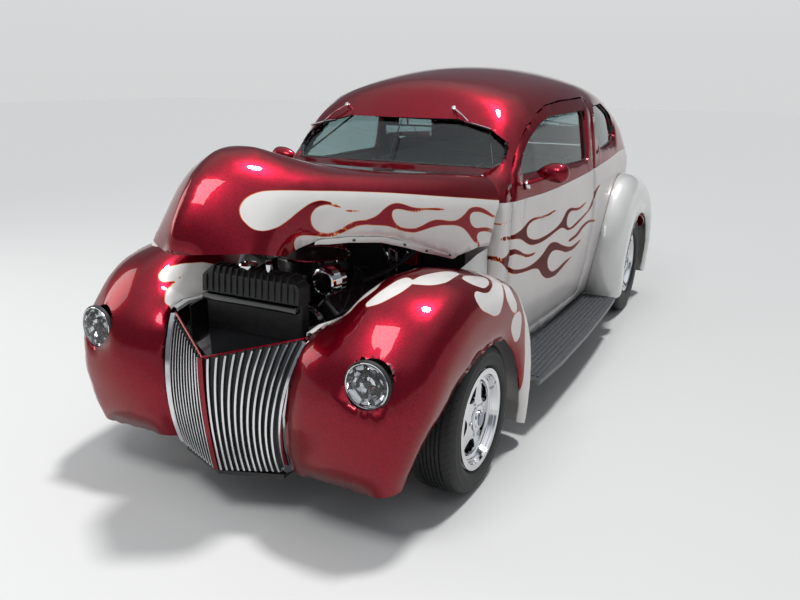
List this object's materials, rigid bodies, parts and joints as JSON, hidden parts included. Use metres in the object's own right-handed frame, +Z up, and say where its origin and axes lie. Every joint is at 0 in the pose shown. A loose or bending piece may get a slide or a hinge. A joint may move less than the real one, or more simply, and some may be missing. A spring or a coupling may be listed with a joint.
{
  "type": "hot rod",
  "caption": "Two-door street rod sedan with a V grille, bulbous fenders, running boards and a rear-hinged hood propped open, painted with a flame pattern.",
  "frame": {"origin": "on the ground, under the middle of the car's box", "axes": "+X to the car's left, +Y from nose to tail, +Z up"},
  "size_m": [1.78, 4.7129, 1.6824],
  "materials": {
    "candy_paint": "gloss",
    "cream_paint": "gloss",
    "chassis_paint": "satin",
    "engine_paint": "gloss",
    "chrome_trim": "polished",
    "cast_metal": "rough",
    "bright_alloy": "polished",
    "tyre_rubber": "matte",
    "ribbed_rubber": "matte",
    "window_glass": "clear",
    "lamp_glass": "faceted",
    "red_lens": "gloss",
    "seat_trim": "satin",
    "dash_plastic": "gloss",
    "wheel_rim": "satin",
    "exhaust_steel": "brushed",
    "black_gloss": "gloss"
  },
  "bodies": {
    "car": {"body_shell": "candy_paint", "front_fenders": "candy_paint", "rear_fenders": "cream_paint", "quarter_glass": "window_glass", "windshield": "window_glass", "rear_glass": "window_glass", "floor_panels": "chassis_paint", "firewall": "black_gloss", "wheel_tubs": "chassis_paint", "rear_seat": "seat_trim", "front_seat": "seat_trim", "dashboard": "dash_plastic", "steering_column": "chassis_paint", "grille_bars": "chrome_trim", "grille_centre": "candy_paint", "headlamps": "lamp_glass", "running_boards": "ribbed_rubber", "chassis_frame": "chassis_paint", "front_axle": "chassis_paint", "rear_axle": "chassis_paint", "engine_block": "engine_paint", "cylinder_heads": "bright_alloy", "intake_and_air_cleaner": "bright_alloy", "engine_pulleys": "bright_alloy", "gearbox": "cast_metal", "drive_shaft": "cast_metal", "exhaust": "exhaust_steel", "fuel_tank": "chassis_paint", "radiator": "black_gloss", "air_panel": "black_gloss", "front_pan": "candy_paint", "engine_bay_sides": "black_gloss", "tail_lamps": "red_lens", "rear_bumper": "chrome_trim"},
    "hood": {"hood": "candy_paint"},
    "door_left": {"door_left": "candy_paint", "door_glass_left": "window_glass", "mirror_left": "candy_paint"},
    "door_right": {"door_right": "candy_paint", "door_glass_right": "window_glass", "mirror_right": "candy_paint"},
    "trunk_lid": {"trunk_lid": "candy_paint"},
    "steering_wheel": {"steering_wheel": "wheel_rim"},
    "knuckle_left": {"front_knuckle_left": "cast_metal"},
    "knuckle_right": {"front_knuckle_right": "cast_metal"},
    "front_wheel_left": {"wheel_front_left": "chrome_trim", "tyre_front_left": "tyre_rubber"},
    "front_wheel_right": {"wheel_front_right": "chrome_trim", "tyre_front_right": "tyre_rubber"},
    "rear_wheel_left": {"wheel_rear_left": "chrome_trim", "tyre_rear_left": "tyre_rubber"},
    "rear_wheel_right": {"wheel_rear_right": "chrome_trim", "tyre_rear_right": "tyre_rubber"}
  },
  "joints": [
    {"name": "hood_hinge", "type": "hinge", "parent": "car", "child": "hood", "pos_m": [0, -1.007, 1.206], "axis": [-1, 0, 0], "range_deg": [-17, 25]},
    {"name": "door_hinge_left", "type": "hinge", "parent": "car", "child": "door_left", "pos_m": [0.668, -0.863, 0.75], "axis": [0, 0, 1], "range_deg": [-65, 0]},
    {"name": "door_hinge_right", "type": "hinge", "parent": "car", "child": "door_right", "pos_m": [-0.668, -0.863, 0.75], "axis": [0, 0, -1], "range_deg": [-65, 0]},
    {"name": "trunk_hinge", "type": "hinge", "parent": "car", "child": "trunk_lid", "pos_m": [0, 2.031, 1.105], "axis": [1, 0, 0], "range_deg": [0, 60]},
    {"name": "steering", "type": "hinge", "parent": "car", "child": "steering_wheel", "pos_m": [0.34, -0.437, 1.01], "axis": [0, 0.8829, 0.4695], "range_deg": [-420, 420]},
    {"name": "steer_left", "type": "hinge", "parent": "car", "child": "knuckle_left", "pos_m": [0.6, -1.557, 0.308], "axis": [0, 0, 1], "range_deg": [-28, 28]},
    {"name": "front_wheel_left_spin", "type": "hinge", "parent": "knuckle_left", "child": "front_wheel_left", "pos_m": [0.73, -1.557, 0.308], "axis": [1, 0, 0], "continuous": true},
    {"name": "rear_wheel_left_spin", "type": "hinge", "parent": "car", "child": "rear_wheel_left", "pos_m": [0.7, 1.288, 0.348], "axis": [1, 0, 0], "continuous": true},
    {"name": "steer_right", "type": "hinge", "parent": "car", "child": "knuckle_right", "pos_m": [-0.6, -1.557, 0.308], "axis": [0, 0, 1], "range_deg": [-28, 28]},
    {"name": "front_wheel_right_spin", "type": "hinge", "parent": "knuckle_right", "child": "front_wheel_right", "pos_m": [-0.73, -1.557, 0.308], "axis": [1, 0, 0], "continuous": true},
    {"name": "rear_wheel_right_spin", "type": "hinge", "parent": "car", "child": "rear_wheel_right", "pos_m": [-0.7, 1.288, 0.348], "axis": [1, 0, 0], "continuous": true}
  ],
  "couplings": [
    {"joint": "steer_left", "follows": "steering", "ratio": 0.066667},
    {"joint": "steer_right", "follows": "steering", "ratio": 0.066667}
  ]
}
